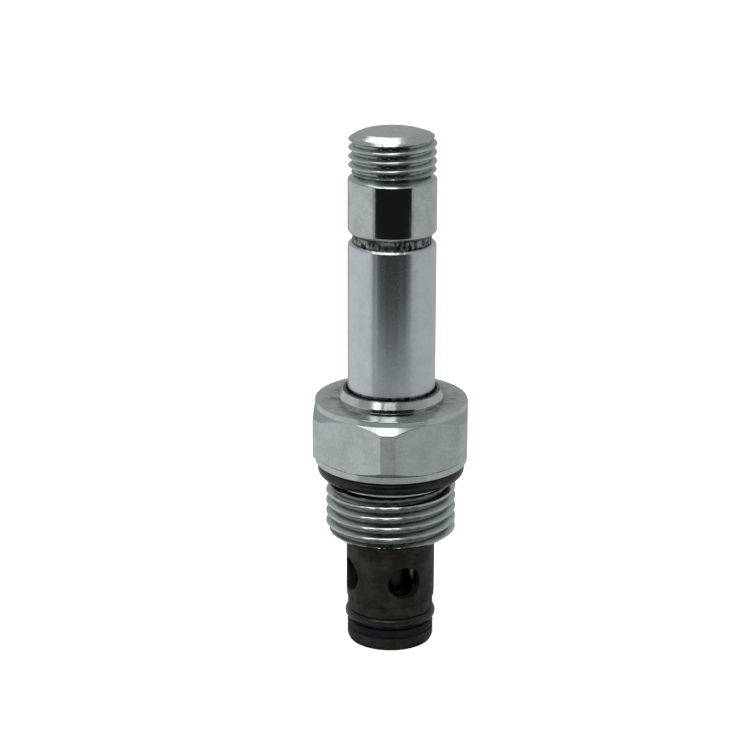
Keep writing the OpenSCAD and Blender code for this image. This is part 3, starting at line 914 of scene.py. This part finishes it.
@step
class CARTRIDGE_OT_backup_ring(bpy.types.Operator):
    """Builds the crowned backup ring below the nose O-ring"""
    bl_idname = "cartridge.backup_ring"
    bl_label = "Nose backup ring"

    def execute(self, context):
        outer, bottom, top = extent("nose_backup_ring")
        shoulder, middle = outer - 0.15, (bottom + top) / 2
        outline = eased([
            (NOSE_GROOVE_R, bottom, 0.08), (shoulder, bottom, 0.12), (outer, middle, 0.6),
            (shoulder, top, 0.12), (NOSE_GROOVE_R, top, 0.08),
        ], 5)
        piece = lathe("nose_backup_ring_cut", even_angles(RING_COLUMNS), lambda a: outline)
        colour = context.scene.cartridge_colours.polymer
        finish = polymer_finish("dark_backup_polymer", colour, spread=1.8, smooth=0.40)
        carried(piece, "valve_body", finish, "dark_polymer", "nose_backup_ring")
        return {"FINISHED"}


@step
class CARTRIDGE_OT_white_rings(bpy.types.Operator):
    """Finishes the white rings of the tube's joint and of the poppet's land"""
    bl_idname = "cartridge.white_rings"
    bl_label = "White rings"

    def execute(self, context):
        colour = context.scene.cartridge_colours.ptfe
        finish = polymer_finish("white_ptfe_cut", colour, spread=0.86, smooth=0.42)
        repaint(finish, "tube_backup_ring", "poppet_ring")
        return {"FINISHED"}


@step
class CARTRIDGE_OT_return_spring(bpy.types.Operator):
    """Winds the return spring with closed, ground ends"""
    bl_idname = "cartridge.return_spring"
    bl_label = "Return spring"

    def execute(self, context):
        s, c = context.scene.cartridge_sizes, context.scene.cartridge_colours
        outer, bottom, top = extent("return_spring")
        wire, turns = s.spring_wire / MM / 2, s.spring_turns
        coil, sides, per_turn, ground = outer - wire, 12, 36, 0.01
        low, high = bottom + wire, top - wire
        # Share of the wire in each closed end, and of the height that it climbs there.
        closed, climb = 1.1 / turns, 0.7436 / turns ** 2

        def rise(u):
            """Share of the height that the wire has climbed at a share of its length."""
            if u < closed:
                return climb * (u / closed)
            if u > 1 - closed:
                return 1 - climb * ((1 - u) / closed)
            return climb + (1 - 2 * climb) * (u - closed) / (1 - 2 * closed)

        bm = bmesh.new()
        loops = []
        for i in range(turns * per_turn + 1):
            a, z = TURN * i / per_turn, low + (high - low) * rise(i / (turns * per_turn))
            loop = []
            for b in even_angles(sides):
                height = min(top - ground, max(bottom + ground, z + wire * math.sin(b)))
                loop.append(bm.verts.new(point(a, coil + wire * math.cos(b), height)))
            loops.append(loop)
        for loop, after in zip(loops, loops[1:]):
            bridge(bm, loop, after)
        bm.faces.new(loops[0])
        bm.faces.new(loops[-1][::-1])
        piece = finished("return_spring_wound", bm, 50)
        finish = worked_metal_finish("drawn_spring_wire", c.wire, 0.7, 0.22, 0.2)
        carried(piece, "valve_body", finish, "spring_steel", "return_spring")
        joint = next(j for j in frame["joints"] if j["name"] == "plunger_slide")
        keep = 1 - max(joint["range_m"]) / MM / (top - bottom)
        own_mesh(piece)
        return {"FINISHED"}


@step
class CARTRIDGE_OT_plunger(bpy.types.Operator):
    """Finishes the iron plunger with its brass disc and pilot needle"""
    bl_idname = "cartridge.plunger"
    bl_label = "Plunger"

    def execute(self, context):
        c = context.scene.cartridge_colours
        iron = worked_metal_finish("turned_plunger_iron", c.iron, 0.72, 0.30, 0.18)
        brass = worked_metal_finish("stamped_brass", c.brass, 0.78, 0.26, 0.4)
        steel = worked_metal_finish("ground_needle_steel", c.steel, 0.8, 0.16, 0.1)
        repaint(iron, "plunger")
        repaint(brass, "residual_shim")
        repaint(steel, "pilot_needle", "link_pin")
        return {"FINISHED"}


@step
class CARTRIDGE_OT_poppet(bpy.types.Operator):
    """Finishes the hardened poppet and the seat that it closes on"""
    bl_idname = "cartridge.poppet"
    bl_label = "Poppet and seat"

    def execute(self, context):
        c = context.scene.cartridge_colours
        # The near-black steel is painted shade for the view into the cross holes.
        finish = worked_metal_finish("poppet_steel_painted_shade", c.poppet_shade, 0.6, 0.24, 0.14)
        repaint(finish, "poppet", "seat_ring")
        return {"FINISHED"}


# Stage ---------------------------------------------------------------------------------------

def direction(azimuth, elevation):
    """Unit vector from the valve; azimuth 0 is towards the front and 90 towards +X."""
    a, e = math.radians(azimuth), math.radians(elevation)
    return Vector((math.sin(a) * math.cos(e), -math.cos(a) * math.cos(e), math.sin(e)))


def soft_box(name, azimuth, elevation, distance, size, power, aim):
    """An area light that faces the valve from a direction, with sizes in millimetres."""
    data = bpy.data.lights.new(name, "AREA")
    data.shape = "RECTANGLE"
    data.size, data.size_y = size[0] * MM, size[1] * MM
    data.energy = power * data.size * data.size_y * math.pi
    lamp = bpy.data.objects.new(name, data)
    bpy.context.scene.collection.objects.link(lamp)
    toward = direction(azimuth, elevation)
    lamp.location = Vector((0, 0, aim * MM)) + toward * distance * MM
    lamp.rotation_euler = toward.to_track_quat("Z", "Y").to_euler()
    lamp.visible_camera = False
    return lamp


def overhead(name, across, along, height, power):
    """A soft box that hangs level over the valve, between two places across and two along."""
    size = (across[1] - across[0], along[1] - along[0])
    lamp = soft_box(name, 0, 90, height, size, power, aim=0)
    lamp.rotation_euler = (0, 0, 0)
    lamp.location = Vector((sum(across) / 2, sum(along) / 2, height)) * MM


# Radius and height, in metres, of the floor and of the dome that it runs up into.
FLOOR_METRES = [
    (0.02, 0), (0.4, 0), (1.5, 0), (3.0, 0), (3.6, 0.25), (3.9, 0.9), (4.0, 2.0), (3.6, 3.2),
    (2.4, 4.2), (0.02, 4.7),
]
# Corners, across and up, of the card that gloss mirrors from the front, and its place along Y.
FRONT_CARD = [(-118, -13), (-50, -15), (74, -15), (142, -13), (142, 95), (-118, 95)]
FRONT_CARD_PLACE = -120
# Radius and height of the round card that gloss mirrors from below.
LOW_CARD = (70, -75)
# Azimuth and strength of the boxes at the sides.
SIDE_BOXES = {"left_box": (-100, 0.26), "right_box": (104, 0.10)}
# Reach across and along of the boxes overhead; the gaps between them are the dark lines in gloss.
KEY_BOXES = {
    "key_front": ((-120, 70), (-430, -150)),
    "key_front_left": ((-320, -170), (-430, -150)),
    "key_middle": ((-69, 31), (-150, 110)),
    "key_middle_left": ((-148, -94), (-150, 110)),
    "key_back": ((-42, 23), (110, 340)),
    "key_back_left": ((-84, -46), (110, 340)),
}


@step
class CARTRIDGE_OT_stage(bpy.types.Operator):
    """Sets up the pale floor, the soft boxes and the camera"""
    bl_idname = "cartridge.stage"
    bl_label = "Stage"

    def execute(self, context):
        scene, g, c = context.scene, context.scene.cartridge_stage, context.scene.cartridge_colours
        scene.view_settings.view_transform = "Standard"

        bm = bmesh.new()
        columns = even_angles(96)
        base = NOSE_END * MM
        rings = []
        for r, z in FLOOR_METRES:
            place = [(r * math.cos(a), r * math.sin(a), base + z) for a in columns]
            rings.append([bm.verts.new(p) for p in place])
        for ring, after in zip(rings, rings[1:]):
            bridge(bm, ring, after)
        bm.faces.new(rings[0])
        bm.faces.new(rings[-1])
        floor = finished("floor", bm, 60)
        f = Finish("pale_floor", Emission_Strength=0.90, Specular_IOR_Level=0.0)
        inputs = {"Vector": f.place, "Scale": 9.0, "Detail": 2.0}
        mottle = f.node("ShaderNodeTexNoise", {}, inputs, "Fac")
        f.give("Base Color", f.mix(c.floor, [v * 0.98 for v in c.floor], mottle))
        f.give("Roughness", mottle * 0.1 + 0.85)
        f.give("Emission Color", f.mix((1, 1, 1), (0.99, 0.99, 0.99), mottle))
        floor.data.materials.append(f.material)
        floor.visible_glossy = False
        floor.visible_shadow = False

        f = Finish("black_card", Roughness=1.0, Specular_IOR_Level=0.0)
        f.give("Base Color", f.mix((0.006, 0.007, 0.007), (0.010, 0.011, 0.011), f.grain(30.0)))
        front = [(x, FRONT_CARD_PLACE, z) for x, z in FRONT_CARD]
        size, height = LOW_CARD
        under = [(size * math.cos(a), size * math.sin(a), height) for a in even_angles(48)]
        for name, corners in (("dark_card", front), ("dark_card_below", under)):
            bm = bmesh.new()
            bm.faces.new([bm.verts.new(Vector(p) * MM) for p in corners])
            card = finished(name, bm)
            card.data.materials.append(f.material)
            card.visible_camera = card.visible_diffuse = False
            card.visible_shadow = card.visible_transmission = False

        world = bpy.data.worlds.new("even_light")
        world.use_nodes = True
        background = world.node_tree.nodes["Background"]
        background.inputs["Color"].default_value = (0.40, 0.42, 0.42, 1)
        background.inputs["Strength"].default_value = g.fill
        scene.world = world

        for name, (azimuth, power) in SIDE_BOXES.items():
            soft_box(name, azimuth, -8, 330, (700, 420), power * g.side, aim=12)
        for name, (across, along) in KEY_BOXES.items():
            overhead(name, across, along, 300, 1.9 * g.key)

        camera = bpy.data.objects.new("camera", bpy.data.cameras.new("camera"))
        scene.collection.objects.link(camera)
        camera.data.lens = g.lens
        camera.data.sensor_width = 36
        camera.data.clip_start, camera.data.clip_end = 0.01, 20
        toward = direction(0, math.degrees(g.camera_height))
        camera.location = Vector((g.aim_side, 0, g.aim_height)) + toward * g.camera_distance
        turn = toward.to_track_quat("Z", "Y").to_matrix() @ Matrix.Rotation(g.camera_roll, 3, "Z")
        camera.rotation_euler = turn.to_euler()
        scene.camera = camera
        return {"FINISHED"}


class CARTRIDGE_PT_steps(bpy.types.Panel):
    """Lists the steps that build the valve"""
    bl_idname = "CARTRIDGE_PT_steps"
    bl_label = "Cartridge valve"
    bl_space_type = "VIEW_3D"
    bl_region_type = "UI"
    bl_category = "Cartridge"

    def draw(self, context):
        for cls in steps:
            self.layout.operator(cls.bl_idname)
        for key in groups:
            group = getattr(context.scene, key)
            box = self.layout.box()
            for name in group.bl_rna.properties.keys():
                if name not in ("rna_type", "name"):
                    box.prop(group, name)


groups = {
    "cartridge_sizes": CartridgeSizes,
    "cartridge_colours": CartridgeColours,
    "cartridge_stage": CartridgeStage,
}


def register():
    for cls in (*groups.values(), *steps, CARTRIDGE_PT_steps):
        bpy.utils.register_class(cls)
    for name, cls in groups.items():
        setattr(bpy.types.Scene, name, PointerProperty(type=cls))


def unregister():
    for name in groups:
        delattr(bpy.types.Scene, name)
    for cls in (CARTRIDGE_PT_steps, *reversed(steps), *groups.values()):
        bpy.utils.unregister_class(cls)


def main():
    register()
    for cls in steps:
        group, action = cls.bl_idname.split(".")
        getattr(getattr(bpy.ops, group), action)()


if __name__ == "__main__":
    main()
